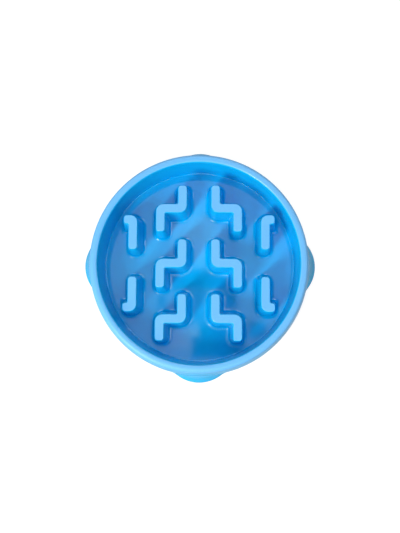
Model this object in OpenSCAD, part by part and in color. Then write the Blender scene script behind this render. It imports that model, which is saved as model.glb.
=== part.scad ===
// Slow feeder bowl: one moulded bowl with a maze of ridges on its floor, and four rubber feet.
// Millimetres, +Z up. The origin is on the table, under the middle of the bowl.

/* [Bowl] */
// Diameter of the rim, over its outer edge
rim_d = 193; // [180:1:240]
// Width of the rim, from its inner edge to its outer edge
rim_w = 7.4; // [7.2:0.2:12]
// Height of the rim above the table
bowl_h = 45; // [42:1:70]
// Thickness of the moulded walls
wall = 2.3; // [1.6:0.1:2.6]
// Height of the food floor above the table
floor_z = 8; // [7.5:0.5:12]
// How much narrower the basin is at its floor than at its rim, on each side
basin_draft = 1; // [0.5:0.1:2]
// Radius where the basin wall meets the floor
basin_fillet = 1; // [0.6:0.1:4]

/* [Rim and skirt] */
// Rounding of the rim's inner edge
rim_inner_r = 2.4; // [0.8:0.1:3]
// Rounding of the rim's outer edge
rim_outer_r = 4; // [3:0.2:4.8]
// Thickness of the web under the top of the rim
rim_web = 3.2; // [2.4:0.1:4]
// How far the foot of the skirt stands outside the rim
skirt_flare = 5; // [2:0.2:8]

/* [Maze] */
// Width of a ridge at its top
ridge_w = 8; // [6:0.1:9]
// Height of the ridges above the floor
ridge_h = 28; // [18:1:32]
// How much a ridge widens from its top to its foot, on each side
ridge_draft = 2.9; // [1.5:0.1:3.5]
// Fillet at the foot of a ridge
ridge_fillet = 3.4; // [0.8:0.1:3.6]
// Rounding of a ridge's top edge
ridge_edge = 0.9; // [0.4:0.1:1.3]
// Radius outside a bend of a ridge, at its top
bend_outer_r = 6.6; // [4:0.2:8]
// Radius inside a bend of a ridge
bend_inner_r = 1.6; // [0.8:0.1:3]
// Radius of the corners at the end of a ridge, at its top
end_corner_r = 2.8; // [1.4:0.1:3.2]

/* [Feet] */
// Diameter of a rubber foot's pad
pad_d = 15; // [10:0.5:18]
// How far a pad stands below the bowl's edge
pad_proud = 2; // [1:0.2:3]
// How deep a pad sits in its seat
pad_recess = 1; // [0.5:0.1:1.5]
// Bevel round the pad's sole
pad_bevel = 0.6; // [0.3:0.1:0.9]
// Diameter of the plug on top of a pad
plug_d = 7; // [5:0.5:9]
// Length of the plug above its pad
plug_len = 6; // [4:0.5:8]
// Gap round a pad and its plug
foot_gap = 0.15; // [0.1:0.05:0.3]
// Wall round a pad's seat
seat_wall = 1.6; // [1:0.1:2.5]
// Radius of a foot lobe, seen from above
lobe_r = 34; // [26:1:40]
// Height above the table at which a foot lobe starts to stand out of the skirt
lobe_h = 30; // [20:1:34]
// Room between a pad's seat and the wall of its lobe
lobe_room = 3.3; // [1:0.1:4]

/* [Hidden] */
$fn = 96;
overrun = 1;
arc_steps = 6;
fillet_steps = 3;
corner_steps = 2;
bend_steps = 5;

// Bowl radii and heights.
rim_r = rim_d / 2;
basin_r = rim_r - rim_w;
floor_r = basin_r - basin_draft;
skirt_foot_r = rim_r + skirt_flare;
skirt_foot_z = pad_proud;
skirt_power = 1.5;
skirt_steps = 8;
rim_lean = atan(skirt_power * skirt_flare / (bowl_h - rim_outer_r - skirt_foot_z));
rim_foot_z = bowl_h - rim_outer_r * (1 - sin(rim_lean));
rim_arc_r = rim_r - rim_outer_r * cos(rim_lean);
void_top_z = bowl_h - rim_web;
form_top_z = bowl_h - rim_web / 2;

// Feet: the plug's bore just clears the basin wall, and the lobe goes round the pad's seat.
plug_hole_r = plug_d / 2 + foot_gap;
seat_hole_r = pad_d / 2 + foot_gap;
seat_r = seat_hole_r + seat_wall;
pad_h = pad_proud + pad_recess;
plug_top_z = pad_h + plug_len;
plug_hole_top_z = plug_top_z + foot_gap;
foot_r = floor_r + wall + plug_hole_r;
lobe_tip_r = foot_r + seat_r + lobe_room + wall;
lobe_bulge = lobe_tip_r - skirt_foot_r;
lobe_sink = wall / 3;
lobe_power = 2.6;
lobe_steps = 7;
foot_round = wall / 2;
foot_angles = [270, 0, 90, 180];

// Maze: places on the floor, as shares of the floor's radius.
row_shares = [0.561, 0, -0.561];
arm_up_shares = [0.238, 0.244, 0.249];
arm_down_shares = [0.241, 0.249, 0.22];
inner_arm_share = 0.169;
outer_arm_share = 0.394;
hook_line_share = 0.673;
hook_reach_share = 0.769;
hook_end_share = 0.138;
hook_top_share = 0.492;
half_w = ridge_w / 2;

// Points of a quarter turn that rounds the right-angled corner p, from side u to side v.
function quarter(p, u, v, r, steps) = [
    for (i = [0:steps])
        let (a = 90 * i / steps)
        p + r * (u + v) - r * (v * cos(a) + u * sin(a))
];
function unit(v) = v / norm(v);
function left_of(v) = [-v.y, v.x];
function flip(list) = [for (i = [len(list) - 1:-1:0]) list[i]];
function join(lists) = [for (l = lists) for (p = l) p];

// Outlines of the bowl's turned forms, as radius and height.
function skirt_r(z) =
    skirt_foot_r - skirt_flare * pow((z - skirt_foot_z) / (rim_foot_z - skirt_foot_z), skirt_power);
function skirt_z(i) = skirt_foot_z + (rim_foot_z - skirt_foot_z) * i / skirt_steps;
function basin_in_r(z) = floor_r + basin_draft * (z - floor_z) / (bowl_h - floor_z);

outer_outline = concat(
    [
        [0, skirt_foot_z],
        [skirt_foot_r - foot_round, skirt_foot_z],
        [skirt_r(skirt_foot_z + foot_round), skirt_foot_z + foot_round]
    ],
    [for (i = [1:skirt_steps]) [skirt_r(skirt_z(i)), skirt_z(i)]],
    [
        for (i = [1:arc_steps])
            let (a = rim_lean + (90 - rim_lean) * i / arc_steps)
            [rim_arc_r, bowl_h - rim_outer_r] + rim_outer_r * [cos(a), sin(a)]
    ],
    [[0, bowl_h]]
);

void_outline = concat(
    [[0, skirt_foot_z - overrun], [skirt_foot_r - wall, skirt_foot_z - overrun]],
    [for (i = [0:skirt_steps]) [skirt_r(skirt_z(i)) - wall, min(skirt_z(i), void_top_z)]],
    [[0, void_top_z]]
);

form_outline = concat(
    [[0, floor_z - wall]],
    quarter(
        [floor_r + wall, floor_z - wall], [-1, 0], [0, 1], basin_fillet + wall, arc_steps
    ),
    [[basin_in_r(form_top_z) + wall, form_top_z], [0, form_top_z]]
);

food_outline = concat(
    [[0, floor_z]],
    quarter([floor_r, floor_z], [-1, 0], [0, 1], basin_fillet, arc_steps),
    flip(quarter(
        [basin_r, bowl_h], [1, 0], [0, -1], rim_inner_r, arc_steps
    )),
    [[basin_r + rim_inner_r, bowl_h + overrun], [0, bowl_h + overrun]]
);

// Radius of a lobe about its own axis: it flares at its foot and sinks into the skirt at its top.
function lobe_out_r(z) =
    let (s = (z - skirt_foot_z) / (lobe_h - skirt_foot_z))
    skirt_r(z) + lobe_bulge * pow(1 - s, lobe_power) - lobe_sink * s - (lobe_tip_r - lobe_r);
function lobe_z(i) = skirt_foot_z + (lobe_h - skirt_foot_z) * i / lobe_steps;

lobe_outline = concat(
    [
        [0, skirt_foot_z],
        [lobe_r - foot_round, skirt_foot_z],
        [lobe_out_r(skirt_foot_z + foot_round), skirt_foot_z + foot_round]
    ],
    [for (i = [1:lobe_steps]) [lobe_out_r(lobe_z(i)), lobe_z(i)]],
    [[0, lobe_h]]
);

lobe_void_outline = concat(
    [[0, skirt_foot_z - overrun], [lobe_r - wall, skirt_foot_z - overrun]],
    [for (i = [0:lobe_steps]) [lobe_out_r(lobe_z(i)) - wall, lobe_z(i)]],
    [[0, lobe_h]]
);

// Inside a bend, the bend and the end corner share the length of the leg between them.
function leg_room(path, i) = norm(path[i + 1] - path[i]) - half_w;
function turn_r(path, i, inside, r_out, r_in) =
    inside ? min(r_in, leg_room(path, i - 1) / 2, leg_room(path, i) / 2) : r_out;
function end_r(path, leg, inside, r_end) = inside ? min(r_end, leg_room(path, leg) / 2) : r_end;

// One long side of a ridge, on the left (side 1) or right (side -1) of its path, spread by t.
function side_points(path, side, t, r_end, r_out, r_in, end_steps, turn_steps) =
    let (
        last = len(path) - 1,
        d = [for (i = [0:last - 1]) unit(path[i + 1] - path[i])],
        n = [for (v = d) side * left_of(v)],
        reach = half_w + t,
        first_in = n[0] * d[1] > 0,
        last_in = n[last - 1] * d[last - 2] < 0
    )
    join([
        quarter(
            path[0] + reach * n[0] - t * d[0], -n[0], d[0],
            end_r(path, 0, first_in, r_end), end_steps
        ),
        for (i = [1:1:last - 1])
            quarter(
                path[i] + reach * (n[i - 1] + n[i]), -d[i - 1], d[i],
                turn_r(path, i, n[i - 1] * d[i] > 0, r_out, r_in), turn_steps
            ),
        quarter(
            path[last] + reach * n[last - 1] + t * d[last - 1], -d[last - 1], -n[last - 1],
            end_r(path, last - 1, last_in, r_end), end_steps
        )
    ]);

function ring(path, t, r_end, r_out, r_in, end_steps, turn_steps) = concat(
    side_points(path, 1, t, r_end, r_out, r_in, end_steps, turn_steps),
    flip(side_points(path, -1, t, r_end, r_out, r_in, end_steps, turn_steps))
);

// A closed solid through rings of like points, one above the other.
module loft(rings, heights) {
    count = len(rings[0]);
    top = len(rings) - 1;
    pairs = count / 2;
    points = [for (k = [0:top]) for (p = rings[k]) [p.x, p.y, heights[k]]];
    sides = [
        for (k = [0:top - 1]) for (i = [0:count - 1])
            let (j = (i + 1) % count)
            [k * count + i, k * count + j, (k + 1) * count + j, (k + 1) * count + i]
    ];
    strip = [for (i = [0:pairs - 2]) [i, i + 1, count - 2 - i, count - 1 - i]];
    upper = [for (q = strip) [for (v = q) v + top * count]];
    lower = [for (q = strip) flip(q)];
    polyhedron(points = points, faces = concat(sides, upper, lower), convexity = 10);
}

// Rings of a ridge, as spread and height: fillet on the floor, drafted side, rounded top edge.
ridge_top_z = floor_z + ridge_h;
ridge_levels = concat(
    [[ridge_draft + ridge_fillet, floor_z - wall / 2]],
    [
        for (i = [0:fillet_steps])
            let (a = 90 * i / fillet_steps)
            [ridge_draft + ridge_fillet * (1 - sin(a)), floor_z + ridge_fillet * (1 - cos(a))]
    ],
    [
        for (i = [0:fillet_steps])
            let (a = 90 * i / fillet_steps)
            [ridge_edge * (cos(a) - 1), ridge_top_z - ridge_edge * (1 - sin(a))]
    ]
);

module ridge(path) {
    loft(
        [
            for (l = ridge_levels)
                ring(path, l[0], end_corner_r + l[0], bend_outer_r + l[0], bend_inner_r,
                    corner_steps, bend_steps)
        ],
        [for (l = ridge_levels) l[1]]
    );
}

// The hollow under a ridge, one wall thickness inside it.
hollow_top_z = ridge_top_z - wall;
hollow_foot_z = floor_z - wall - overrun;
function hollow_spread(z) = ridge_draft * (ridge_top_z - z) / ridge_h - wall;
hollow_levels = [
    for (z = [hollow_foot_z, hollow_top_z]) [hollow_spread(z), z]
];

module ridge_hollow(path) {
    loft(
        [
            for (l = hollow_levels)
                ring(path, l[0], max(end_corner_r + l[0], wall / 4), bend_outer_r + l[0],
                    bend_inner_r + wall, corner_steps, corner_steps)
        ],
        [for (l = hollow_levels) l[1]]
    );
}

// Paths of the ridges on the right half of the floor; the left half is its mirror image.
function arm_path(i) =
    let (
        y = row_shares[i] * floor_r,
        xi = inner_arm_share * floor_r,
        xo = outer_arm_share * floor_r
    )
    [[xi, y + arm_up_shares[i] * floor_r], [xi, y], [xo, y], [xo, y - arm_down_shares[i] * floor_r]];
function hook_path(up) =
    let (
        x = hook_line_share * floor_r,
        y_end = hook_end_share * floor_r,
        y_top = hook_top_share * floor_r - half_w
    )
    [[x, up * y_end], [x, up * y_top], [hook_reach_share * floor_r, up * y_top]];
rows = [0:len(row_shares) - 1];
right_paths = concat([for (i = rows) arm_path(i)], [hook_path(1), hook_path(-1)]);
all_paths = concat(
    right_paths, [for (path = right_paths) [for (p = path) [-p.x, p.y]]]
);

module turned(outline) {
    rotate_extrude() polygon(outline);
}

module at_feet(r) {
    for (a = foot_angles) rotate([0, 0, a]) translate([r, 0, 0]) children();
}

module skirt_and_rim() {
    difference() {
        union() {
            turned(outer_outline);
            at_feet(lobe_tip_r - lobe_r) turned(lobe_outline);
        }
        turned(void_outline);
        at_feet(lobe_tip_r - lobe_r) turned(lobe_void_outline);
    }
}

module foot_sockets() {
    seat_h = pad_recess + wall;
    tube_h = plug_hole_top_z + wall - skirt_foot_z;
    at_feet(foot_r) translate([0, 0, skirt_foot_z]) {
        cylinder(r = seat_r, h = seat_h);
        cylinder(r = plug_hole_r + wall, h = tube_h);
    }
}

module foot_bores() {
    at_feet(foot_r) {
        translate([0, 0, skirt_foot_z - overrun])
            cylinder(r = seat_hole_r, h = pad_recess + overrun);
        translate([0, 0, skirt_foot_z]) cylinder(r = plug_hole_r, h = plug_hole_top_z - skirt_foot_z);
    }
}

module bowl() {
    color([0.36, 0.7, 0.97]) difference() {
        union() {
            difference() {
                union() {
                    skirt_and_rim();
                    turned(form_outline);
                    foot_sockets();
                }
                turned(food_outline);
                foot_bores();
            }
            for (path = all_paths) ridge(path);
        }
        for (path = all_paths) ridge_hollow(path);
    }
}

// A rubber foot: a round pad with a bevelled sole, and a plug with a bevelled tip.
foot_outline = [
    [0, 0],
    [pad_d / 2 - pad_bevel, 0],
    [pad_d / 2, pad_bevel],
    [pad_d / 2, pad_h],
    [plug_d / 2, pad_h],
    [plug_d / 2, plug_top_z - pad_bevel],
    [plug_d / 2 - pad_bevel, plug_top_z],
    [0, plug_top_z]
];

module rubber_foot(angle) {
    color([0.2, 0.22, 0.25]) rotate([0, 0, angle]) translate([foot_r, 0, 0]) turned(foot_outline);
}

module rubber_foot_front() { rubber_foot(foot_angles[0]); }
module rubber_foot_right() { rubber_foot(foot_angles[1]); }
module rubber_foot_back() { rubber_foot(foot_angles[2]); }
module rubber_foot_left() { rubber_foot(foot_angles[3]); }

bowl();
rubber_foot_front();
rubber_foot_right();
rubber_foot_back();
rubber_foot_left();
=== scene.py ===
# %% [markdown]
# # A slow feeder bowl
#
# The real bowl is one injection moulding of blue plastic on four small rubber feet. Ten hollow ridges
# stand on its floor as a maze, so that a dog licks its food out slowly instead of gulping it.
#
# This lesson builds what the eye sees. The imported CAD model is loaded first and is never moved: each
# piece made here takes its size and its place from it. Everything is in metres, with +Z up.

# %% Load the fixed frame
import math

import bmesh
import bpy
from mathutils import Matrix, Vector
from mathutils.geometry import delaunay_2d_cdt


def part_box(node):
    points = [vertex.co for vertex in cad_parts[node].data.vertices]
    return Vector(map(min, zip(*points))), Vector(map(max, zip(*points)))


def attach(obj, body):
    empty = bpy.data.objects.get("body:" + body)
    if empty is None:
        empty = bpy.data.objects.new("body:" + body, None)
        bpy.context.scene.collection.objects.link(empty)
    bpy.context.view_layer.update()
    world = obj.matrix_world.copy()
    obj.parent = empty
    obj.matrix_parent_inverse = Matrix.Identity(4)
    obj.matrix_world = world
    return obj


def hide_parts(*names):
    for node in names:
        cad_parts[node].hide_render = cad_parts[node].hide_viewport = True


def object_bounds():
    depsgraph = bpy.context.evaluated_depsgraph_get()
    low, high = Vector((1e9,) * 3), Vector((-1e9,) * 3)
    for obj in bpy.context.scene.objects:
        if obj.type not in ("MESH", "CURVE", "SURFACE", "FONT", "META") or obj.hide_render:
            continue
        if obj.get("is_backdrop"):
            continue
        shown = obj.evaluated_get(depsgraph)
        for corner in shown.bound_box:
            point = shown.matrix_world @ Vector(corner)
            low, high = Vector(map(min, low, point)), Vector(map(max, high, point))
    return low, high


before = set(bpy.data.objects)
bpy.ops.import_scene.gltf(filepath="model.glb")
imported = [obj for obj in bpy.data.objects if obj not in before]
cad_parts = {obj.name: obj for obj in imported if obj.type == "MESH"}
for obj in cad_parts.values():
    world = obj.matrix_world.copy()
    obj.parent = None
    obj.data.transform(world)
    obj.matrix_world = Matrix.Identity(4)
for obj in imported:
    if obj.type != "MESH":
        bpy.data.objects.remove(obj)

MM = 0.001
cad_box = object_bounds()
print("CAD nodes:", sorted(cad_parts))

# %% [markdown]
# ## Sizes
#
# The moulding is drawn from a few driving sizes, as its toolmaker would do it. The height, the tips of
# the foot lobes and the places of the feet are read from the frame, and the rest are the sizes that
# the CAD model was drawn with. A share is a fraction of the floor's radius.

# %% Sizes of the bowl, its ridges and its feet
BOWL_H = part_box("bowl")[1].z
RIM_R = 96.5 * MM
RIM_W = 7.4 * MM
RIM_INNER_R = 2.4 * MM
RIM_OUTER_R = 4 * MM
RIM_WEB = 3.2 * MM
WALL = 2.3 * MM
FLOOR_Z = 8 * MM
BASIN_DRAFT = 1 * MM
BASIN_FILLET = 1 * MM
SKIRT_FLARE = 5 * MM

BASIN_R = RIM_R - RIM_W
FLOOR_R = BASIN_R - BASIN_DRAFT
UNDER_Z = FLOOR_Z - WALL

RIDGE_W = 8 * MM
RIDGE_H = 28 * MM
RIDGE_DRAFT = 2.9 * MM
RIDGE_FILLET = 3.4 * MM
RIDGE_EDGE = 0.9 * MM
BEND_OUTER_R = 6.6 * MM
BEND_INNER_R = 1.6 * MM
END_CORNER_R = 2.8 * MM
RIDGE_TOP_Z = FLOOR_Z + RIDGE_H

FOOT_NODES = ["rubber_foot_right", "rubber_foot_back", "rubber_foot_left", "rubber_foot_front"]
foot_low, foot_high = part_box("rubber_foot_right")
FOOT_R = (foot_low.x + foot_high.x) / 2
PAD_R = (foot_high.x - foot_low.x) / 2
PLUG_TOP_Z = foot_high.z
print("bowl height %.1f mm, feet at radius %.2f mm" % (BOWL_H / MM, FOOT_R / MM))

# %% [markdown]
# ## Two helpers for node trees
#
# Materials and Geometry Nodes are both trees of nodes. One function adds a node together with what
# goes into it, so that each tree reads like a short list of formulas. A second one writes colours as
# the sRGB hex values that a colour card gives, and turns them into the linear values that light needs.

# %% A function that adds a node, and one that reads a colour
def add_node(tree, kind, inputs=(), **settings):
    """Adds one node. A node, a socket or a plain value goes into the input of that name or place."""
    node = tree.nodes.new(kind)
    for name, value in settings.items():
        setattr(node, name, value)
    for key, value in (inputs if isinstance(inputs, dict) else dict(enumerate(inputs))).items():
        source = value.outputs[0] if isinstance(value, bpy.types.Node) else value
        if isinstance(source, bpy.types.NodeSocket):
            tree.links.new(source, node.inputs[key])
        else:
            node.inputs[key].default_value = source
    return node


def linear(hex_colour):
    """Linear RGBA of an sRGB hex colour such as #0a90e8."""
    channels = [int(hex_colour[i:i + 2], 16) / 255 for i in (1, 3, 5)]
    return [c / 12.92 if c <= 0.04045 else ((c + 0.055) / 1.055) ** 2.4 for c in channels] + [1.0]


def new_material(name):
    """An empty material and its Principled shader, joined to the output."""
    material = bpy.data.materials.new(name)
    material.use_nodes = True
    material.node_tree.nodes.clear()
    shader = add_node(material.node_tree, "ShaderNodeBsdfPrincipled")
    add_node(material.node_tree, "ShaderNodeOutputMaterial", [shader])
    return material, shader


# %% [markdown]
# ## The blue plastic
#
# The bowl is moulded in pigmented polypropylene. Most of the mould is polished, so the floor and the
# fillets are glossy and mirror the room. The steep walls are duller, because the mould slides along
# them as it opens: they show a deep, even blue. The tops of the rim and the ridges, which a hand or a
# tongue touches most, have a fine satin texture, given here as roughness and grain. Their colour is
# also painted a paler blue than the walls beside them: a painted sheen for the white light they catch.
#
# One material does it all. Two attributes, written on the mesh further down, say where each finish is.
# The first is 1 on the satin faces, where it also paints the paler sheen colour, and drawn is 1 on the
# steep ones, and they mix colours and roughnesses.

# %% Make the plastic
FLOW_SIZE = 34 * MM
GRAIN_SIZE = 0.9 * MM
PIGMENT_SIZE = 11 * MM
FLOW_HEIGHT = 0.6 * MM
GRAIN_HEIGHT = 0.05 * MM
POLISH_ROUGHNESS = (0.02, 0.06)
DRAWN_ROUGHNESS = 0.3
SATIN_ROUGHNESS = 0.46

plastic, shader = new_material("moulded_polypropylene_blue")
tree = plastic.node_tree
place = add_node(tree, "ShaderNodeTexCoord").outputs["Object"]
# This attribute marks the rough, grained satin tops, which are also painted paler as a painted sheen.
satin_and_painted_sheen = add_node(tree, "ShaderNodeAttribute", attribute_name="satin_and_painted_sheen").outputs["Fac"]
pigment = add_node(tree, "ShaderNodeTexNoise", {"Vector": place, "Scale": 1 / PIGMENT_SIZE, "Detail": 3.0})
flow = add_node(tree, "ShaderNodeTexNoise", {"Vector": place, "Scale": 1 / FLOW_SIZE, "Detail": 1.0})
# Real satin grain is about 0.1 mm; it is drawn at 0.9 mm, or a picture of the whole bowl would lose it.
grain = add_node(tree, "ShaderNodeTexNoise", {"Vector": place, "Scale": 1 / GRAIN_SIZE, "Detail": 2.0})

# The inputs of a Mix node go by place: 0 is the factor, 2 and 3 are two numbers, 6 and 7 two colours.
polished_blue = add_node(tree, "ShaderNodeMix", {0: pigment, 6: linear("#00a6e0"), 7: linear("#00aee6")},
                         data_type="RGBA")
# Painted sheen: the satin tops get a paler blue than the polished plastic, in place of the white light that
# falls on them.
satin_painted_sheen_blue = add_node(tree, "ShaderNodeMix", {0: grain, 6: linear("#58a9e5"), 7: linear("#6cb6ec")},
                      data_type="RGBA")
colour = add_node(tree, "ShaderNodeMix", {0: satin_and_painted_sheen, 6: polished_blue.outputs[2], 7: satin_painted_sheen_blue.outputs[2]},
                  data_type="RGBA")
tree.links.new(colour.outputs[2], shader.inputs["Base Color"])

polish = add_node(tree, "ShaderNodeMapRange", {
    "Value": pigment, "To Min": POLISH_ROUGHNESS[0], "To Max": POLISH_ROUGHNESS[1]})
drawn = add_node(tree, "ShaderNodeAttribute", attribute_name="drawn").outputs["Fac"]
worn = add_node(tree, "ShaderNodeMix", {0: drawn, 2: polish, 3: DRAWN_ROUGHNESS})
roughness = add_node(tree, "ShaderNodeMix", {0: satin_and_painted_sheen, 2: worn, 3: SATIN_ROUGHNESS})
tree.links.new(roughness.outputs[0], shader.inputs["Roughness"])
shader.inputs["IOR"].default_value = 1.49

waves = add_node(tree, "ShaderNodeBump", {"Strength": 0.12, "Distance": FLOW_HEIGHT, "Height": flow})
grain_depth = add_node(tree, "ShaderNodeMath", [satin_and_painted_sheen, 0.25], operation="MULTIPLY")
texture = add_node(tree, "ShaderNodeBump", {
    "Strength": grain_depth, "Distance": GRAIN_HEIGHT, "Height": grain, "Normal": waves})
tree.links.new(texture.outputs[0], shader.inputs["Normal"])
print("made", plastic.name)

# %% [markdown]
# ## The rubber of the feet
#
# The feet are a soft moulded rubber. Rubber is dark, dull and never quite even: dust and handling
# leave slightly paler areas, and the mould leaves a fine matte grain.

# %% Make the rubber
RUBBER_GRAIN = 0.35 * MM
RUBBER_DUST = 4 * MM

rubber, shader = new_material("moulded_rubber_dark_grey")
tree = rubber.node_tree
place = add_node(tree, "ShaderNodeTexCoord").outputs["Object"]
dust = add_node(tree, "ShaderNodeTexNoise", {"Vector": place, "Scale": 1 / RUBBER_DUST, "Detail": 4.0})
grain = add_node(tree, "ShaderNodeTexNoise", {"Vector": place, "Scale": 1 / RUBBER_GRAIN, "Detail": 2.0})
colour = add_node(tree, "ShaderNodeMix", {0: dust, 6: linear("#2c2f33"), 7: linear("#43484d")},
                  data_type="RGBA")
tree.links.new(colour.outputs[2], shader.inputs["Base Color"])
roughness = add_node(tree, "ShaderNodeMapRange", {"Value": dust, "To Min": 0.62, "To Max": 0.8})
tree.links.new(roughness.outputs[0], shader.inputs["Roughness"])
shader.inputs["IOR"].default_value = 1.52
bump = add_node(tree, "ShaderNodeBump", {"Strength": 0.5, "Distance": GRAIN_HEIGHT, "Height": grain})
tree.links.new(bump.outputs[0], shader.inputs["Normal"])
print("made", rubber.name)

# %% [markdown]
# ## Turning an outline
#
# The bowl's shell, its foot sockets and its feet are all turned forms: an outline in the XZ plane that
# runs once round the Z axis. Blender's Spin tool or Screw modifier could do it. A Geometry Nodes group
# is used instead, because the shell needs the angle of each point afterwards, for its lobes.
#
# The group lays out a flat grid with one column for each step round and one row for each point of the
# outline. A point's index says which column and which row it is in, and so its angle and its place on
# the outline. The seam and the poles lie double, and the trees that use the group merge them.

# %% Build the group that turns an outline
def new_tree(name, inputs, outputs=(("Mesh", "Geometry"),)):
    """An empty Geometry Nodes tree with named sockets, its input node and its output node."""
    tree = bpy.data.node_groups.new(name, "GeometryNodeTree")
    for label, kind in inputs:
        tree.interface.new_socket(label, in_out="INPUT", socket_type="NodeSocket" + kind)
    for label, kind in outputs:
        tree.interface.new_socket(label, in_out="OUTPUT", socket_type="NodeSocket" + kind)
    given = add_node(tree, "NodeGroupInput").outputs
    result = add_node(tree, "NodeGroupOutput").inputs
    return tree, given, result


turning, given, result = new_tree(
    "turn_an_outline",
    [("Outline", "Geometry"), ("Steps", "Int")],
    [("Mesh", "Geometry"), ("Angle", "Float"), ("Row", "Int"), ("Radius", "Float"), ("Height", "Float")],
)
rows = add_node(turning, "GeometryNodeAttributeDomainSize", [given["Outline"]], component="MESH")
columns = add_node(turning, "ShaderNodeMath", [given["Steps"], 1.0], operation="ADD")
grid = add_node(turning, "GeometryNodeMeshGrid", {"Vertices X": columns, "Vertices Y": rows})
index = add_node(turning, "GeometryNodeInputIndex")
column = add_node(turning, "FunctionNodeIntegerMath", [index, rows], operation="DIVIDE_FLOOR")
row = add_node(turning, "FunctionNodeIntegerMath", [index, rows], operation="MODULO")
turn = add_node(turning, "ShaderNodeMath", [column, given["Steps"]], operation="DIVIDE")
angle = add_node(turning, "ShaderNodeMath", [turn, math.tau], operation="MULTIPLY")
position = add_node(turning, "GeometryNodeInputPosition")
point = add_node(turning, "GeometryNodeSampleIndex", {"Geometry": given["Outline"], "Index": row},
                 data_type="FLOAT_VECTOR")
turning.links.new(position.outputs[0], point.inputs["Value"])
split = add_node(turning, "ShaderNodeSeparateXYZ", [point])
around = add_node(turning, "ShaderNodeCombineXYZ", [
    add_node(turning, "ShaderNodeMath", [angle], operation="COSINE"),
    add_node(turning, "ShaderNodeMath", [angle], operation="SINE")])
level = add_node(turning, "ShaderNodeVectorMath", {0: around, "Scale": split.outputs["X"]},
                 operation="SCALE")
lifted = add_node(turning, "ShaderNodeCombineXYZ", {"Z": split.outputs["Z"]})
place = add_node(turning, "ShaderNodeVectorMath", [level, lifted], operation="ADD")
turned = add_node(turning, "GeometryNodeSetPosition", {"Geometry": grid, "Position": place})
for label, source in (("Mesh", turned), ("Angle", angle), ("Row", row)):
    turning.links.new(source.outputs[0], result[label])
turning.links.new(split.outputs["X"], result["Radius"])
turning.links.new(split.outputs["Z"], result["Height"])
print("group", turning.name, "has", len(turning.nodes), "nodes")

# %% [markdown]
# ## The tree of the bowl's shell
#
# Four foot lobes swell out of the skirt. Seen from above, each is part of a circle whose centre lies
# inside the bowl. The distance from the bowl's axis to such a circle, along a ray at an angle a from
# the lobe's own axis, is c cos a + sqrt(R^2 - (c sin a)^2), where c is how far out its centre lies and
# R is its radius. The shell's radius is the larger of the turned radius and that distance. A smooth
# maximum blends them, as the fillet in the mould does.
#
# R changes with the height, and the wall has an inside too, so the outline carries R for each of its
# points as an attribute. It is zero where there are no lobes: there the distance stays well below
# the bowl's own radius, and nothing changes.

# %% Build the tree of the shell
MERGE_GAP = 0.002 * MM

shell_tree, given, result = new_tree("lobed_bowl_shell", [
    ("Outline", "Geometry"), ("Steps", "Int"), ("Lobes", "Int"), ("Lobe centre", "Float"),
    ("Blend", "Float")])
turned = add_node(shell_tree, "GeometryNodeGroup", node_tree=turning)
shell_tree.links.new(given["Outline"], turned.inputs["Outline"])
shell_tree.links.new(given["Steps"], turned.inputs["Steps"])
angle, radius = turned.outputs["Angle"], turned.outputs["Radius"]
lobe_attribute = add_node(shell_tree, "GeometryNodeInputNamedAttribute", {"Name": "lobe_r"},
                          data_type="FLOAT")
lobe_r = add_node(shell_tree, "GeometryNodeSampleIndex", {
    "Geometry": given["Outline"], "Value": lobe_attribute, "Index": turned.outputs["Row"]})
half_turn = add_node(shell_tree, "ShaderNodeMath", [math.pi, given["Lobes"]], operation="DIVIDE")
other_half = add_node(shell_tree, "ShaderNodeMath", [half_turn, -1.0], operation="MULTIPLY")
off_axis = add_node(shell_tree, "ShaderNodeMath", [angle, half_turn, other_half], operation="WRAP")
cosine = add_node(shell_tree, "ShaderNodeMath", [off_axis], operation="COSINE")
sine = add_node(shell_tree, "ShaderNodeMath", [off_axis], operation="SINE")
along = add_node(shell_tree, "ShaderNodeMath", [cosine, given["Lobe centre"]], operation="MULTIPLY")
across = add_node(shell_tree, "ShaderNodeMath", [sine, given["Lobe centre"]], operation="MULTIPLY")
lobe_sq = add_node(shell_tree, "ShaderNodeMath", [lobe_r, 2.0], operation="POWER")
across_sq = add_node(shell_tree, "ShaderNodeMath", [across, across], operation="MULTIPLY")
chord_sq = add_node(shell_tree, "ShaderNodeMath", [lobe_sq, across_sq], operation="SUBTRACT")
chord_sq = add_node(shell_tree, "ShaderNodeMath", [chord_sq, 0.0], operation="MAXIMUM")
chord = add_node(shell_tree, "ShaderNodeMath", [chord_sq], operation="SQRT")
reach = add_node(shell_tree, "ShaderNodeMath", [along, chord], operation="ADD")
shell_r = add_node(shell_tree, "ShaderNodeMath", [radius, reach, given["Blend"]], operation="SMOOTH_MAX")
way_x = add_node(shell_tree, "ShaderNodeMath", [angle], operation="COSINE")
way_y = add_node(shell_tree, "ShaderNodeMath", [angle], operation="SINE")
place = add_node(shell_tree, "ShaderNodeCombineXYZ", [
    add_node(shell_tree, "ShaderNodeMath", [shell_r, way_x], operation="MULTIPLY"),
    add_node(shell_tree, "ShaderNodeMath", [shell_r, way_y], operation="MULTIPLY"),
    turned.outputs["Height"]])
shaped = add_node(shell_tree, "GeometryNodeSetPosition", {"Geometry": turned, "Position": place})
closed = add_node(shell_tree, "GeometryNodeMergeByDistance", {"Geometry": shaped, "Distance": MERGE_GAP})
real = add_node(shell_tree, "GeometryNodeRealizeInstances", [closed])
painted = add_node(shell_tree, "GeometryNodeSetMaterial", {"Geometry": real, "Material": plastic})
shell_tree.links.new(painted.outputs[0], result["Mesh"])
print("tree", shell_tree.name, "has", len(shell_tree.nodes), "nodes")

# %% [markdown]
# ## The outline of the shell
#
# One line runs from the flat floor up the basin wall, over the rim, down the flared skirt, round its
# foot and back up inside, and down the outside of the basin to the underside of the floor. It is made
# of straight stretches and arcs. The skirt's flare is a power curve: steep under the rim, wider at the
# foot. The lobes follow the same kind of curve, so they swell most at the foot and fade out above.

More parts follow.
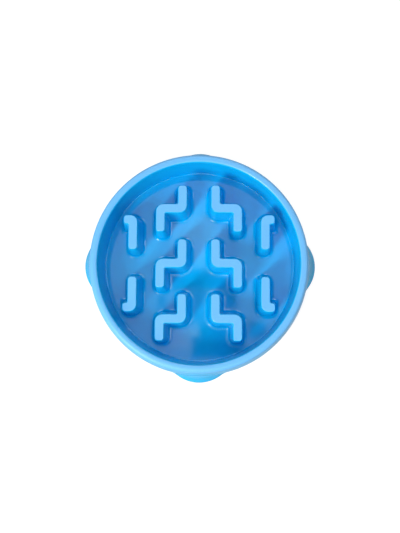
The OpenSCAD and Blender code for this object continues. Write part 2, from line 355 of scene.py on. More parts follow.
# %% Measure the skirt and the lobes
FOOT_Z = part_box("bowl")[0].z
SKIRT_POWER = 1.5
SKIRT_R = RIM_R + SKIRT_FLARE
LOBES = len(FOOT_NODES)
LOBE_R = 34 * MM
LOBE_TOP_Z = 30 * MM
LOBE_POWER = 2.6
LOBE_BLEND = 3 * MM
BOX_MARGIN = 0.02 * MM

RIM_LEAN = math.atan(SKIRT_POWER * SKIRT_FLARE / (BOWL_H - RIM_OUTER_R - FOOT_Z))
RIM_FOOT_Z = BOWL_H - RIM_OUTER_R * (1 - math.sin(RIM_LEAN))


def skirt_r(z):
    """Outer radius of the skirt between the lobes."""
    share = (z - FOOT_Z) / (RIM_FOOT_Z - FOOT_Z)
    return SKIRT_R - SKIRT_FLARE * max(share, 0) ** SKIRT_POWER


# The lobes reach furthest just above their rounded foot. The frame says how far that is, and their
# bulge at the very foot follows from it.
foot_round_z = FOOT_Z + WALL / 2
foot_share = (foot_round_z - FOOT_Z) / (LOBE_TOP_Z - FOOT_Z)
lobe_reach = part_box("bowl")[1].x - BOX_MARGIN
foot_bulge = lobe_reach - skirt_r(foot_round_z) + WALL * foot_share ** 2
LOBE_BULGE = foot_bulge / (1 - foot_share) ** LOBE_POWER
LOBE_CENTRE = SKIRT_R + LOBE_BULGE - LOBE_R


def lobe_r(z):
    """Radius of a lobe about its own axis. It sinks into the skirt towards its top."""
    share = (z - FOOT_Z) / (LOBE_TOP_Z - FOOT_Z)
    bulge = LOBE_BULGE * max(1 - share, 0) ** LOBE_POWER
    return skirt_r(z) + bulge - WALL * share ** 2 - LOBE_CENTRE


print("a lobe stands %.2f mm out of the skirt's foot" % (LOBE_BULGE / MM))

# %% [markdown]
# Now the outline is written down in the order in which a pen would draw it. Each point has a radius, a
# height and the lobe's radius there. A groove with a round top closes the space between the basin wall
# and the skirt, just under the rim.

# %% Draw the outline of the shell
FLAT_LIP = 0.4 * MM
ARC_STEPS = 8
BASIN_STEPS = 6
SKIRT_STEPS = 22


def arc(centre_r, centre_z, radius, start, end, steps=ARC_STEPS):
    """Points of an arc, as radius and height. Angles are in degrees from the outward direction."""
    angles = [math.radians(start + (end - start) * i / steps) for i in range(steps + 1)]
    return [(centre_r + radius * math.cos(a), centre_z + radius * math.sin(a)) for a in angles]


def basin_r(z):
    """Inner radius of the basin wall."""
    return FLOOR_R + BASIN_DRAFT * (z - FLOOR_Z) / (BOWL_H - FLOOR_Z)


def levels(low, high, steps):
    """Evenly spaced heights, both ends included."""
    return [low + (high - low) * i / steps for i in range(steps + 1)]


fillet_z = FLOOR_Z + BASIN_FILLET
floor_edge_r = FLOOR_R - BASIN_FILLET
groove_r = (skirt_r(RIM_FOOT_Z) - WALL - basin_r(RIM_FOOT_Z) - WALL) / 2
groove_z = BOWL_H - RIM_WEB - groove_r
inside = (
    [(floor_edge_r - FLAT_LIP, FLOOR_Z)]
    + arc(floor_edge_r, fillet_z, BASIN_FILLET, -90, 0)
    + [(basin_r(z), z) for z in levels(fillet_z, BOWL_H - RIM_INNER_R, BASIN_STEPS)[1:-1]]
    + arc(BASIN_R + RIM_INNER_R, BOWL_H - RIM_INNER_R, RIM_INNER_R, 180, 90)
    + arc(RIM_R - RIM_OUTER_R * math.cos(RIM_LEAN), BOWL_H - RIM_OUTER_R, RIM_OUTER_R,
          90, math.degrees(RIM_LEAN))
)
skirt = [(z, 0) for z in levels(RIM_FOOT_Z, foot_round_z, SKIRT_STEPS)[1:]]
foot = [(foot_round_z + z, WALL / 2 - r) for r, z in arc(0, 0, WALL / 2, 0, -180)][1:-1]
skirt_inside = [(z, WALL) for z in levels(foot_round_z, groove_z, SKIRT_STEPS)]
lobed = [(skirt_r(max(z, foot_round_z)) - depth, z, depth) for z, depth in skirt + foot + skirt_inside]
under = (
    arc(basin_r(groove_z) + WALL + groove_r, groove_z, groove_r, 0, 180)[1:]
    + [(basin_r(z) + WALL, z) for z in levels(groove_z, fillet_z, BASIN_STEPS)[1:-1]]
    + arc(floor_edge_r, fillet_z, BASIN_FILLET + WALL, 0, -90)
    + [(floor_edge_r - FLAT_LIP, UNDER_Z)]
)
outline = ([(r, z, 0.0) for r, z in inside]
           + [(r, z, lobe_r(max(z, foot_round_z)) - depth) for r, z, depth in lobed]
           + [(r, z, 0.0) for r, z in under])
print("the outline has", len(outline), "points")

# %% [markdown]
# ## From an outline to a mesh
#
# The outline becomes a mesh of bare edges, with its lobe radius as a point attribute. The tree runs on
# it as a modifier. Its inputs are set by their identifiers before the object is first evaluated, and
# the evaluated result is copied into a plain mesh, so nothing live is left on the finished piece.

# %% Functions that make an outline object and run a tree on it
def outline_object(name, points, **attributes):
    """A mesh of edges through points given as radius and height, with float attributes."""
    mesh = bpy.data.meshes.new(name)
    mesh.from_pydata([(r, 0, z) for r, z in points], [(i, i + 1) for i in range(len(points) - 1)], [])
    for label, values in attributes.items():
        layer = mesh.attributes.new(label, "FLOAT", "POINT")
        layer.data.foreach_set("value", values)
    return bpy.data.objects.new(name, mesh)


def run_tree(source, tree, name, **values):
    """Runs a tree on a source object, and returns its result as a plain mesh. The source is removed."""
    bpy.context.scene.collection.objects.link(source)
    modifier = source.modifiers.new(name, "NODES")
    modifier.node_group = tree
    for socket in tree.interface.items_tree:
        key = socket.name.lower().replace(" ", "_")
        if socket.in_out == "INPUT" and key in values:
            modifier[socket.identifier] = values[key]
    evaluated = source.evaluated_get(bpy.context.evaluated_depsgraph_get())
    mesh = bpy.data.meshes.new_from_object(evaluated)
    mesh.name = name
    bpy.data.objects.remove(source)
    return mesh


SHELL_STEPS = 256
shell_outline = outline_object("shell_outline", [p[:2] for p in outline], lobe_r=[p[2] for p in outline])
shell = run_tree(shell_outline, shell_tree, "shell", steps=SHELL_STEPS, lobes=LOBES,
                 lobe_centre=LOBE_CENTRE, blend=LOBE_BLEND)
print("the shell has", len(shell.polygons), "faces")

# %% [markdown]
# ## The ridges of the maze
#
# A ridge follows a path of straight legs with square bends, and its wall leans in a little, or it
# would not leave the mould. Sweeping a section along the path would give bends of equal width, but the
# real bends are round outside and tight inside. So the outline of a ridge, seen from above, is drawn
# at several heights, each a little wider than the one above it, and a skin is laid over these rings.

# %% Draw the ring of a ridge at one height
HALF_W = RIDGE_W / 2
END_STEPS = 6
BEND_STEPS = 9


def quarter(corner, u, v, radius, steps):
    """Points of a quarter turn that rounds a square corner, from its side u to its side v."""
    angles = [math.pi / 2 * i / steps for i in range(steps + 1)]
    return [corner + radius * (u + v - v * math.cos(a) - u * math.sin(a)) for a in angles]


def ridge_side(path, side, spread, end_r, out_r, in_r):
    """One long side of a ridge, left (1) or right (-1) of its path, spread outwards."""
    ways = [(b - a).normalized() for a, b in zip(path, path[1:])]
    norms = [side * Vector((-way.y, way.x)) for way in ways]
    rooms = [(b - a).length - HALF_W for a, b in zip(path, path[1:])]
    inward = [n.dot(way) > 0 for n, way in zip(norms, ways[1:])]
    reach = HALF_W + spread
    first_r = min(end_r, rooms[0] / 2) if inward[0] else end_r
    last_r = min(end_r, rooms[-1] / 2) if inward[-1] else end_r
    points = quarter(path[0] + reach * norms[0] - spread * ways[0], -norms[0], ways[0], first_r, END_STEPS)
    for i, bend_in in enumerate(inward):
        bend_r = min(in_r, rooms[i] / 2, rooms[i + 1] / 2) if bend_in else out_r
        corner = path[i + 1] + reach * (norms[i] + norms[i + 1])
        points += quarter(corner, -ways[i], ways[i + 1], bend_r, BEND_STEPS)
    end = path[-1] + reach * norms[-1] + spread * ways[-1]
    return points + quarter(end, -ways[-1], -norms[-1], last_r, END_STEPS)


def ridge_ring(path, spread, end_r, out_r, in_r):
    """The closed outline of a ridge: its left side, and its right side back again."""
    left = ridge_side(path, 1, spread, end_r, out_r, in_r)
    right = ridge_side(path, -1, spread, end_r, out_r, in_r)
    return left + right[::-1]


# %% [markdown]
# The side of a ridge, cut square to its path, is a line too: a fillet on the floor, the leaning wall
# and a rounded top edge. The hollow under the ridge has its own line, one wall thickness inside.

# %% Draw the section of a ridge and of its hollow
HOLLOW_EDGE = 0.8 * MM
LEAN = math.atan(RIDGE_DRAFT / RIDGE_H)


def lean_gap(radius):
    """How far the centre of an arc lies from the foot of the leaning line that it touches."""
    return radius * (1 - math.sin(LEAN)) / math.cos(LEAN)


def wall_spread(height):
    """How far the ridge's wall stands outside its top, at a height above the floor."""
    return RIDGE_DRAFT * (1 - height / RIDGE_H)


top_arc_s = wall_spread(RIDGE_H - RIDGE_EDGE) - RIDGE_EDGE / math.cos(LEAN)
lean_deg = math.degrees(LEAN)
foot_arc = arc(RIDGE_DRAFT + lean_gap(RIDGE_FILLET), FLOOR_Z + RIDGE_FILLET, RIDGE_FILLET,
               270, 180 + lean_deg)
top_arc = arc(top_arc_s, RIDGE_TOP_Z - RIDGE_EDGE, RIDGE_EDGE, lean_deg, 90, 6)
ridge_section = (
    [(foot_arc[0][0] + FLAT_LIP, FLOOR_Z)]
    + foot_arc
    + [(wall_spread(z - FLOOR_Z), z) for z in levels(foot_arc[-1][1], top_arc[0][1], 4)[1:-1]]
    + top_arc
    + [(top_arc[-1][0] - FLAT_LIP, RIDGE_TOP_Z)]
)

HOLLOW_TOP_Z = RIDGE_TOP_Z - WALL
mouth_s = wall_spread(-WALL) - WALL
mouth_arc = arc(mouth_s + lean_gap(HOLLOW_EDGE), UNDER_Z + HOLLOW_EDGE, HOLLOW_EDGE, 270, 180 + lean_deg, 4)
roof_s = wall_spread(RIDGE_H - WALL - HOLLOW_EDGE) - WALL - HOLLOW_EDGE / math.cos(LEAN)
roof_arc = arc(roof_s, HOLLOW_TOP_Z - HOLLOW_EDGE, HOLLOW_EDGE, lean_deg, 90, 3)
hollow_section = [(mouth_arc[0][0] + FLAT_LIP, UNDER_Z)] + mouth_arc + roof_arc
print("ridge section:", len(ridge_section), "rings; hollow:", len(hollow_section), "rings")

# %% [markdown]
# The maze is the same on its left and right, so only the right half is laid out: three ridges like a
# step, and two like a hook. Their places are shares of the floor's radius.

# %% Lay out the right half of the maze
ROW_SHARES = [0.561, 0, -0.561]
ARM_UP_SHARES = [0.238, 0.244, 0.249]
ARM_DOWN_SHARES = [0.241, 0.249, 0.22]
INNER_ARM_SHARE = 0.169
OUTER_ARM_SHARE = 0.394
HOOK_LINE_SHARE = 0.673
HOOK_REACH_SHARE = 0.769
HOOK_END_SHARE = 0.138
HOOK_TOP_SHARE = 0.492


def step_path(row, up, down):
    """Path of a step-shaped ridge: up the inner arm, across, and down the outer arm."""
    corners = [(INNER_ARM_SHARE, row + up), (INNER_ARM_SHARE, row),
               (OUTER_ARM_SHARE, row), (OUTER_ARM_SHARE, row - down)]
    return [Vector(corner) * FLOOR_R for corner in corners]


def hook_path(side):
    """Path of a hook-shaped ridge, far (1) or near (-1)."""
    bend_y = HOOK_TOP_SHARE * FLOOR_R - HALF_W
    x = HOOK_LINE_SHARE * FLOOR_R
    ends = [(x, HOOK_END_SHARE * FLOOR_R), (x, bend_y), (HOOK_REACH_SHARE * FLOOR_R, bend_y)]
    return [Vector((px, side * py)) for px, py in ends]


paths = [step_path(*shares) for shares in zip(ROW_SHARES, ARM_UP_SHARES, ARM_DOWN_SHARES)]
paths += [hook_path(1), hook_path(-1)]
print(len(paths), "ridges on the right half")


# %% [markdown]
# All the rings of a ridge have the same number of points, so its skin is a row of four-sided faces from
# each ring to the next, and a cap over the last ring. It stays open at its first ring, where the floor
# joins on. The Bridge Edge Loops tool does the same by hand.

# %% Lay a skin over the rings of each ridge
def add_skin(bm, rings, heights):
    """Adds the walls and the cap of a form through rings of like points, open at its first ring."""
    layers = [[bm.verts.new((p.x, p.y, z)) for p in ring] for ring, z in zip(rings, heights)]
    count = len(rings[0])
    for low, high in zip(layers, layers[1:]):
        for i in range(count):
            j = (i + 1) % count
            bm.faces.new((low[i], low[j], high[j], high[i]))
    cap = layers[-1]
    for i in range(count // 2 - 1):
        bm.faces.new((cap[i], cap[i + 1], cap[count - 2 - i], cap[count - 1 - i]))


ridge_feet = []
hollow_mouths = []
bm = bmesh.new()
for path in paths:
    rings = [ridge_ring(path, s, END_CORNER_R + s, BEND_OUTER_R + s, BEND_INNER_R)
             for s, z in ridge_section]
    add_skin(bm, rings, [z for s, z in ridge_section])
    ridge_feet.append(rings[0])
    rings = [ridge_ring(path, s, max(END_CORNER_R + s, WALL / 4), BEND_OUTER_R + s, BEND_INNER_R + WALL)
             for s, z in hollow_section]
    add_skin(bm, rings, [z for s, z in hollow_section])
    hollow_mouths.append(rings[0])
half_mesh = bpy.data.meshes.new("half_maze")
bm.to_mesh(half_mesh)
bm.free()
print("half of the maze has", len(half_mesh.polygons), "faces")

# %% [markdown]
# A Geometry Nodes tree adds the left half: a copy scaled by -1 across X, with its faces flipped,
# because a mirror image turns a surface inside out.

# %% Build the mirror tree and run it
mirror_tree, given, result = new_tree("mirrored_maze", [("Half", "Geometry")])
mirrored = add_node(mirror_tree, "GeometryNodeTransform", {
    "Geometry": given["Half"], "Scale": (-1.0, 1.0, 1.0)})
turned_out = add_node(mirror_tree, "GeometryNodeFlipFaces", [mirrored])
both = add_node(mirror_tree, "GeometryNodeJoinGeometry", [turned_out])
mirror_tree.links.new(given["Half"], both.inputs[0])
real = add_node(mirror_tree, "GeometryNodeRealizeInstances", [both])
painted = add_node(mirror_tree, "GeometryNodeSetMaterial", {"Geometry": real, "Material": plastic})
mirror_tree.links.new(painted.outputs[0], result["Mesh"])

maze = run_tree(bpy.data.objects.new("half_maze", half_mesh), mirror_tree, "maze")
print("the maze has", len(maze.polygons), "faces")

# %% [markdown]
# ## The flat floor between the ridges
#
# The floor is flat, with a round edge and ten holes where the ridges stand. Blender's constrained
# Delaunay triangulation fills such an outline. It also fills the holes, so triangles whose middle lies
# inside a ridge are left out. The underside of the floor is filled in the same way round the hollows.

# %% Fill the floor and its underside
FILL_GAP = 0.0001 * MM


def inside_loop(point, loop):
    """Whether a point lies inside a closed loop: a ray from it crosses the loop an odd number of times."""
    crossings = 0
    for a, b in zip(loop, loop[1:] + loop[:1]):
        if (a.y > point.y) != (b.y > point.y):
            crossings += point.x < a.x + (b.x - a.x) * (point.y - a.y) / (b.y - a.y)
    return crossings % 2 == 1


def filled_floor(name, right_loops, height):
    """A flat mesh at a height, from the shell's floor edge to the loops of the ridges."""
    loops = right_loops + [[Vector((-p.x, p.y)) for p in loop] for loop in right_loops]
    edge_r = floor_edge_r - FLAT_LIP
    turns = [math.tau * i / SHELL_STEPS for i in range(SHELL_STEPS)]
    points = [Vector((math.cos(a), math.sin(a))) * edge_r for a in turns]
    edges = [(i, (i + 1) % SHELL_STEPS) for i in range(SHELL_STEPS)]
    for loop in loops:
        first = len(points)
        points += loop
        edges += [(first + i, first + (i + 1) % len(loop)) for i in range(len(loop))]
    corners, _, triangles, *_ = delaunay_2d_cdt(points, edges, [], 0, FILL_GAP)
    kept = []
    for triangle in triangles:
        middle = sum((corners[i] for i in triangle), Vector((0, 0))) / len(triangle)
        if not any(inside_loop(middle, loop) for loop in loops):
            kept.append(triangle)
    mesh = bpy.data.meshes.new(name)
    mesh.from_pydata([(p.x, p.y, height) for p in corners], [], kept)
    return mesh


floor_top = filled_floor("floor_top", ridge_feet, FLOOR_Z)
floor_under = filled_floor("floor_under", hollow_mouths, UNDER_Z)
print("floor:", len(floor_top.polygons), "and", len(floor_under.polygons), "triangles")

# %% [markdown]
# ## One closed skin
#
# The shell, the maze and both faces of the floor meet edge to edge. They are put into one mesh, the
# double points are merged, and the normals are worked out again, so that the moulding is one closed
# skin. The count of open edges proves it.

# %% Join the parts of the moulding
WELD_GAP = 0.005 * MM


def joined(name, meshes):
    """One mesh object from several meshes that meet edge to edge."""
    bm = bmesh.new()
    for mesh in meshes:
        bm.from_mesh(mesh)
    bmesh.ops.remove_doubles(bm, verts=bm.verts, dist=WELD_GAP)
    bmesh.ops.recalc_face_normals(bm, faces=bm.faces)
    print(name, "has", sum(len(e.link_faces) != 2 for e in bm.edges), "open edges")
    mesh = bpy.data.meshes.new(name)
    bm.to_mesh(mesh)
    bm.free()
    return bpy.data.objects.new(name, mesh)


moulding = joined("moulding", [shell, maze, floor_top, floor_under])

# %% [markdown]
# ## Foot sockets and feet
#
# Under each lobe stands a socket: a shallow seat for a foot's pad, and a blind tube that grips its
# plug. Sockets and feet are turned outlines, set round the bowl. One tree does both, with inputs for
# the number of copies, the radius of the circle that they stand on and the angle of the first.

# %% Build the tree that sets turned forms round the bowl
ring_tree, given, result = new_tree("turned_forms_in_a_ring", [
    ("Outline", "Geometry"), ("Steps", "Int"), ("Copies", "Int"), ("Ring radius", "Float"),
    ("First angle", "Float"), ("Material", "Material")])
turned = add_node(ring_tree, "GeometryNodeGroup", node_tree=turning)
ring_tree.links.new(given["Outline"], turned.inputs["Outline"])
ring_tree.links.new(given["Steps"], turned.inputs["Steps"])
closed = add_node(ring_tree, "GeometryNodeMergeByDistance", {"Geometry": turned, "Distance": MERGE_GAP})
index = add_node(ring_tree, "GeometryNodeInputIndex")
turn = add_node(ring_tree, "ShaderNodeMath", [index, given["Copies"]], operation="DIVIDE")
angle = add_node(ring_tree, "ShaderNodeMath", [turn, math.tau, given["First angle"]],
                 operation="MULTIPLY_ADD")
way = add_node(ring_tree, "ShaderNodeCombineXYZ", [
    add_node(ring_tree, "ShaderNodeMath", [angle], operation="COSINE"),
    add_node(ring_tree, "ShaderNodeMath", [angle], operation="SINE")])
spot = add_node(ring_tree, "ShaderNodeVectorMath", {0: way, "Scale": given["Ring radius"]},
                operation="SCALE")
spots = add_node(ring_tree, "GeometryNodePoints", {"Count": given["Copies"], "Position": spot})
copies = add_node(ring_tree, "GeometryNodeInstanceOnPoints", {"Points": spots, "Instance": closed})
real = add_node(ring_tree, "GeometryNodeRealizeInstances", [copies])
painted = add_node(ring_tree, "GeometryNodeSetMaterial", {"Geometry": real, "Material": given["Material"]})
ring_tree.links.new(painted.outputs[0], result["Mesh"])
print("tree", ring_tree.name, "has", len(ring_tree.nodes), "nodes")

# %% [markdown]
# The outline of a socket runs down the bore from its blind end, out over the seat, round the foot and
# up the outside to the top of the tube. A small gap is left round the pad and the plug, and every edge
# has a little bevel, because a moulding has no knife edges.

# %% Turn the four sockets
FOOT_GAP = 0.15 * MM
SEAT_WALL = 1.6 * MM
TUBE_WALL = 2 * MM
PAD_H = 3 * MM
PLUG_R = 3.5 * MM
SOCKET_STEPS = 64

seat_hole_r = PAD_R + FOOT_GAP
seat_r = seat_hole_r + SEAT_WALL
plug_hole_r = PLUG_R + FOOT_GAP
tube_r = plug_hole_r + TUBE_WALL
seat_top_z = PAD_H + WALL
tube_top_z = PLUG_TOP_Z + FOOT_GAP + WALL
edge = FOOT_GAP * 2
socket_outline = [
    (0, PLUG_TOP_Z + FOOT_GAP), (plug_hole_r, PLUG_TOP_Z + FOOT_GAP), (plug_hole_r, PAD_H + edge),
    (plug_hole_r + edge, PAD_H), (seat_hole_r, PAD_H), (seat_hole_r, FOOT_Z + edge),
    (seat_hole_r + edge, FOOT_Z), (seat_r - edge, FOOT_Z), (seat_r, FOOT_Z + edge),
    (seat_r, seat_top_z - edge), (seat_r - edge, seat_top_z), (tube_r + edge, seat_top_z),
    (tube_r, seat_top_z + edge), (tube_r, tube_top_z - edge), (tube_r - edge, tube_top_z), (0, tube_top_z)]
sockets = run_tree(outline_object("socket_outline", socket_outline), ring_tree, "sockets",
                   steps=SOCKET_STEPS, copies=LOBES, ring_radius=FOOT_R, first_angle=0.0, material=plastic)
print("the sockets have", len(sockets.polygons), "faces")

# %% [markdown]
# The tubes stand against the basin's outside and are one with it in the mould, so they are united with
# the moulding by a Boolean. Their wall is a little thinner than the basin's, or they would just show
# inside it. The result is smooth, apart from edges sharper than the angle given.

# %% Unite the sockets with the moulding
SHARP_ANGLE = math.radians(38)


def linked(thing):
    """Puts an object into the scene."""
    bpy.context.scene.collection.objects.link(thing)
    return thing


def smoothed(mesh):
    """Smooth shading, with edges over the sharp angle left crisp."""
    mesh.shade_smooth()
    mesh.set_sharp_from_angle(angle=SHARP_ANGLE)


socket_object = linked(joined("socket_ring", [sockets]))
linked(moulding)
union = moulding.modifiers.new("sockets", "BOOLEAN")
union.operation = "UNION"
union.solver = "EXACT"
union.object = socket_object
bowl_mesh = bpy.data.meshes.new_from_object(moulding.evaluated_get(bpy.context.evaluated_depsgraph_get()))
for used in (moulding, socket_object):
    bpy.data.objects.remove(used)
bowl_mesh.name = "bowl"
bowl_mesh.materials.clear()
bowl_mesh.materials.append(plastic)
smoothed(bowl_mesh)
print("the bowl has", len(bowl_mesh.polygons), "faces")

# %% [markdown]
# The attributes are written last, from the finished shape. A point is satin if it faces up and lies on
# the top of the rim or of a ridge; the outer rounding of the rim just under its top is satin too. A satin
# point is rough and grained, and its colour is the paler painted sheen. That fades over the rounded edge,
# as the texture does, and on a ridge it ends sooner, so that the polished edge catches a thin line of
# light. A point is drawn if its normal is nearly level.

# %% Mark the satin tops, which carry the painted sheen, and the drawn walls
# Heights of the normal at which the satin mark, and with it the painted sheen, begins and is full.
RIM_SATIN_AND_SHEEN = (0.6, 0.9)
RIDGE_SATIN_AND_SHEEN = (0.93, 0.995)
SATIN_AND_SHEEN_DEPTH = 3 * MM
DRAWN_FROM = 0.6
DRAWN_FULL = 0.2

satin_and_painted_sheen = bowl_mesh.attributes.new("satin_and_painted_sheen", "FLOAT", "POINT")
for vertex, value in zip(bowl_mesh.vertices, satin_and_painted_sheen.data):
    out = vertex.co.xy.length
    on_ridge = abs(vertex.co.z - RIDGE_TOP_Z) < RIDGE_EDGE and out < FLOOR_R
    on_rim = vertex.co.z > BOWL_H - RIM_INNER_R and out > BASIN_R
    start, full = RIDGE_SATIN_AND_SHEEN if on_ridge else RIM_SATIN_AND_SHEEN
    facing = (vertex.normal.z - start) / (full - start)
    value.value = min(max(facing, 0), 1) if on_ridge or on_rim else 0
    # The outer rounding of the rim, a little way under its top, also gets the satin mark and so the pale
    # painted sheen, fading downwards.
    if out > RIM_R - RIM_OUTER_R and vertex.normal.xy.dot(vertex.co.xy) > 0:
        value.value = min(max(1 - (RIM_FOOT_Z - vertex.co.z) / SATIN_AND_SHEEN_DEPTH, 0), 1)
print("satin points:", sum(v.value > 0.5 for v in satin_and_painted_sheen.data))

drawn = bowl_mesh.attributes.new("drawn", "FLOAT", "POINT")
for vertex, value in zip(bowl_mesh.vertices, drawn.data):
    value.value = min(max((DRAWN_FROM - abs(vertex.normal.z)) / (DRAWN_FROM - DRAWN_FULL), 0), 1)
print("drawn points:", sum(v.value > 0.5 for v in drawn.data))

bowl = linked(bpy.data.objects.new("moulded_bowl", bowl_mesh))
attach(bowl, "root")
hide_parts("bowl")

# %% [markdown]
# ## The rubber feet
#
# A foot is a round pad with a plug on top. Its sole has two shallow rings that let it grip, its rim is
# bevelled, and the plug's tip is rounded to find its hole. Each foot takes the place of its CAD node.

# %% Turn the four feet
GROOVE = 0.5 * MM
GRIP_SHARES = (0.4, 0.7)
PAD_BEVEL = 0.6 * MM
PLUG_ROUND = 1.2 * MM


def grip_ring(radius):
    """A shallow round groove in the sole."""
    return [(radius - GROOVE, 0), (radius - GROOVE / 2, GROOVE), (radius + GROOVE / 2, GROOVE),
            (radius + GROOVE, 0)]


foot_outline = (
    [(0, 0)]
    + grip_ring(PAD_R * GRIP_SHARES[0])
    + grip_ring(PAD_R * GRIP_SHARES[1])
    + arc(PAD_R - PAD_BEVEL, PAD_BEVEL, PAD_BEVEL, -90, 0, 4)
    + [(PAD_R, PAD_H - PAD_BEVEL / 2), (PAD_R - PAD_BEVEL / 2, PAD_H), (PLUG_R, PAD_H)]
    + arc(PLUG_R - PLUG_ROUND, PLUG_TOP_Z - PLUG_ROUND, PLUG_ROUND, 0, 90, 5)
    + [(0, PLUG_TOP_Z)]
)
for place, node in enumerate(FOOT_NODES):
    mesh = run_tree(outline_object("foot_outline", foot_outline), ring_tree, node, steps=SOCKET_STEPS,
                    copies=1, ring_radius=FOOT_R, first_angle=math.tau * place / LOBES, material=rubber)
    foot = joined(node + "_moulded", [mesh])
    foot.data.materials.append(rubber)
    smoothed(foot.data)
    linked(foot)
    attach(foot, "root")
    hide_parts(node)
    print(foot.name, "has", len(foot.data.polygons), "faces")

# %% [markdown]
# ## The table
#
# The bowl stands on a plain white table, which the photograph shows as pure white with hardly any
# shadow. The paint here is a middle grey, so it takes a shadow, and a light of its own, which only the
# camera sees in full, lifts it to white. Mirrored in the plastic it glows less, or the skirt would look
# washed out.

# %% Make the table
TABLE_SIZE = 6.0
TABLE_DROP = 0.02 * MM
TABLE_SEEN = 0.82
TABLE_MIRRORED = 0.3


def light_path(tree):
    """Two values: 1 for rays from the camera, and 1 for rays that a glossy or clear surface sends."""
    path = add_node(tree, "ShaderNodeLightPath").outputs
    mirrored = add_node(tree, "ShaderNodeMath", [path["Is Glossy Ray"], path["Is Transmission Ray"]],
                        operation="MAXIMUM")
    return path["Is Camera Ray"], mirrored


table_top, shader = new_material("white_painted_table")
tree = table_top.node_tree
seen, mirrored = light_path(tree)
lift = add_node(tree, "ShaderNodeMath", [mirrored, TABLE_MIRRORED], operation="MULTIPLY")
lift = add_node(tree, "ShaderNodeMath", [seen, TABLE_SEEN, lift], operation="MULTIPLY_ADD")
tree.links.new(lift.outputs[0], shader.inputs["Emission Strength"])
shader.inputs["Emission Color"].default_value = linear("#ffffff")
shader.inputs["Base Color"].default_value = linear("#8c8c8c")
shader.inputs["Roughness"].default_value = 0.7

half = TABLE_SIZE / 2
corners = [(x * half, y * half, -TABLE_DROP) for x, y in ((-1, -1), (1, -1), (1, 1), (-1, 1))]
table_mesh = bpy.data.meshes.new("table")
table_mesh.from_pydata(corners, [], [(0, 1, 2, 3)])
table_mesh.materials.append(table_top)
table = linked(bpy.data.objects.new("table", table_mesh))
table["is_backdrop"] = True
print("the table is %.0f m wide" % TABLE_SIZE)

# %% [markdown]
# ## Light
#
# A tall, narrow soft box to the left and in front is the main light. It brightens the walls that face
# it, and lays diagonal streaks of light and shadow between the ridges, which fade with distance because
# the lamp is tall. Two weaker soft boxes, in front and at the back, lift the walls that it misses. A
# white room, brighter overhead than at the sides, fills the rest. The levels are plain, so a colour
# comes out about as written.

# %% Set up the lights
AIM = Vector((0, 0, 0.02))


def soft_box(name, azimuth, elevation, distance, size, radiance):
    """A lamp of some width and height aimed at the bowl. Radiance is how bright its face looks."""
    lamp = bpy.data.lights.new(name, "AREA")
    lamp.shape = "RECTANGLE"
    lamp.size, lamp.size_y = size
    lamp.energy = radiance * math.pi * size[0] * size[1]
    a, e = math.radians(azimuth), math.radians(elevation)
    way = Vector((math.cos(a) * math.cos(e), math.sin(a) * math.cos(e), math.sin(e)))
    holder = linked(bpy.data.objects.new(name, lamp))
    holder.location = AIM + way * distance
    holder.rotation_euler = way.to_track_quat("Z", "Y").to_euler()
    print(name, "stands %.2f m away" % distance)


soft_box("main_light", 229, 36, 1.4, (0.3, 0.95), 21.0)
soft_box("front_light", 275, 46, 1.5, (0.6, 0.6), 2.2)
soft_box("back_light", 97, 40, 1.5, (1.0, 1.0), 0.9)

# %% [markdown]
# Glossy plastic shows what hangs above it. In the photograph the floor mirrors a bright ceiling panel
# with two brighter patches and a few dark shapes on it, and every polished edge has a pale line from the
# bright walls of the room. So this room has them too, but only mirrored rays meet them: they make the
# reflections, and the plain light stays soft.
#
# A place on the ceiling is given as a slant: how far a ray moves along X and Y for each unit it climbs.
# A shape there has the slants of its middle, its width and depth, and its level. A height is the Z of
# a ray of length one, so it runs from 0 at the horizon to 1 overhead.

# %% Lay out the room
ROOM_LEVELS = (0.42, 0.63)
ROOM_HEIGHTS = (0.2, 0.9)
WALL_LEVELS = (5.0, 1.4)
WALL_HEIGHTS = (0.3, 0.5)
CEILING_LEVEL = 0.3
CEILING_HEIGHTS = (0.8, 0.88)
NEAR_LEFT = (-0.7, -0.7, 0.0)
HORIZON = 0.01
SHAPE_EDGE = 0.005
PANEL = (0.0, 0.1, 0.41, 0.43, 1.35)
BRIGHT_PATCHES = [(-0.03, 0.14, 0.08, 0.067, 2.0), (-0.05, -0.018, 0.04, 0.034, 2.0)]
DARK_SHAPES = [
    (0.003, -0.006, 0.06, 0.03, 0.02), (0.004, -0.034, 0.085, 0.034, 0.02),
    (0.066, -0.006, 0.026, 0.024, 0.15), (-0.023, 0.0735, 0.092, 0.036, 0.03),
    (-0.027, 0.034, 0.024, 0.052, 0.25), (-0.085, 0.04, 0.012, 0.03, 0.3),
    (0.022, 0.0425, 0.02, 0.028, 0.05)]
shapes = [PANEL] + BRIGHT_PATCHES + DARK_SHAPES
print("the ceiling has", len(shapes), "shapes")

# %% [markdown]
# The world's shader works out a level for each ray from its direction. It fades from the horizon to
# the walls and on to the ceiling, and then lays the shapes over the ceiling one by one, each with a soft
# edge. The camera itself sees plain white.

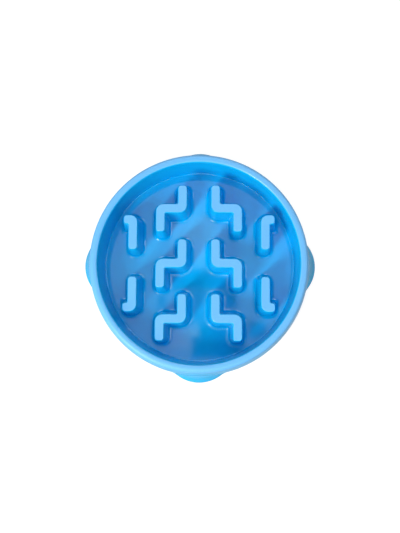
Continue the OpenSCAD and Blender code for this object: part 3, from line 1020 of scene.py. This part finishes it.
# %% Build the room
world = bpy.data.worlds.new("white_room")
world.use_nodes = True
world.node_tree.nodes.clear()
tree = world.node_tree
seen, mirrored = light_path(tree)
direction = add_node(tree, "ShaderNodeTexCoord").outputs["Generated"]
height = add_node(tree, "ShaderNodeSeparateXYZ", [direction]).outputs["Z"]
height = add_node(tree, "ShaderNodeMath", [height, HORIZON], operation="MAXIMUM")
on_ceiling = add_node(tree, "ShaderNodeVectorMath", [direction, height], operation="DIVIDE")
nearness = add_node(tree, "ShaderNodeVectorMath", [direction, NEAR_LEFT], operation="DOT_PRODUCT")
walls = add_node(tree, "ShaderNodeMapRange", {
    "Value": nearness.outputs["Value"], "From Min": -0.5, "From Max": 0.5,
    "To Min": WALL_LEVELS[0], "To Max": WALL_LEVELS[1]})
room_seen = add_node(tree, "ShaderNodeMapRange", {
    "Value": height, "From Min": WALL_HEIGHTS[0], "From Max": WALL_HEIGHTS[1],
    "To Min": 1.0, "To Max": walls})
room_seen = add_node(tree, "ShaderNodeMapRange", {
    "Value": height, "From Min": CEILING_HEIGHTS[0], "From Max": CEILING_HEIGHTS[1],
    "To Min": room_seen, "To Max": CEILING_LEVEL})
for x, y, width, depth, level in shapes:
    offset = add_node(tree, "ShaderNodeVectorMath", [on_ceiling, (x, y, 1.0)], operation="SUBTRACT")
    distance = add_node(tree, "ShaderNodeVectorMath", [offset], operation="ABSOLUTE")
    outside = add_node(tree, "ShaderNodeVectorMath", [distance, (width / 2, depth / 2, 0.0)],
                       operation="SUBTRACT")
    split = add_node(tree, "ShaderNodeSeparateXYZ", [outside])
    reach = add_node(tree, "ShaderNodeMath", [split.outputs["X"], split.outputs["Y"]], operation="MAXIMUM")
    room_seen = add_node(tree, "ShaderNodeMapRange", {
        "Value": reach, "From Min": -SHAPE_EDGE, "From Max": SHAPE_EDGE,
        "To Min": level, "To Max": room_seen}, interpolation_type="SMOOTHSTEP")
room_light = add_node(tree, "ShaderNodeMapRange", {
    "Value": height, "From Min": ROOM_HEIGHTS[0], "From Max": ROOM_HEIGHTS[1],
    "To Min": ROOM_LEVELS[0], "To Max": ROOM_LEVELS[1]})
strength = add_node(tree, "ShaderNodeMix", {0: mirrored, 2: room_light, 3: room_seen}, data_type="FLOAT")
strength = add_node(tree, "ShaderNodeMath", [strength, seen], operation="MAXIMUM")
room = add_node(tree, "ShaderNodeBackground", {"Color": linear("#ffffff"), "Strength": strength})
add_node(tree, "ShaderNodeOutputWorld", [room])
bpy.context.scene.world = world
bpy.context.scene.view_settings.view_transform = "Standard"
print("the room has", len(tree.nodes), "nodes")

# %% [markdown]
# ## Camera
#
# The photograph looks straight down from about 60 cm, a little from the front and right of the bowl's
# middle. The camera's place, aim and lens come from fitting a pinhole camera to the ridges and the
# rim, so the perspective matches: the walls at the far side show more than those at the near side.

# %% Set up the camera
CAMERA_AT = Vector((14.9, -56.0, 600)) * MM
CAMERA_AIM = Vector((0.8, -1.6, 20)) * MM
CAMERA_ROLL = math.radians(0.33)
FOCAL_PX = 637.2
PHOTO_H_PX = 533

camera_data = bpy.data.cameras.new("camera")
camera_data.lens = camera_data.sensor_width * FOCAL_PX / PHOTO_H_PX
camera_data.clip_start = 0.01
camera = linked(bpy.data.objects.new("camera", camera_data))
forward = (CAMERA_AIM - CAMERA_AT).normalized()
right = forward.cross(Vector((-math.sin(CAMERA_ROLL), math.cos(CAMERA_ROLL), 0))).normalized()
up = right.cross(forward)
camera.matrix_world = Matrix.Translation(CAMERA_AT) @ Matrix((right, up, -forward)).transposed().to_4x4()
bpy.context.scene.camera = camera
print("lens %.1f mm" % camera_data.lens)

# %% [markdown]
#
# The finished model has to stay inside the CAD model's box. Both boxes are written down side by side.

# %% Print the two boxes and finish
made_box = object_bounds()
for label, (low, high) in (("CAD", cad_box), ("visual", made_box)):
    print(label, "box: %.2f x %.2f x %.2f mm" % tuple((high - low) / MM))
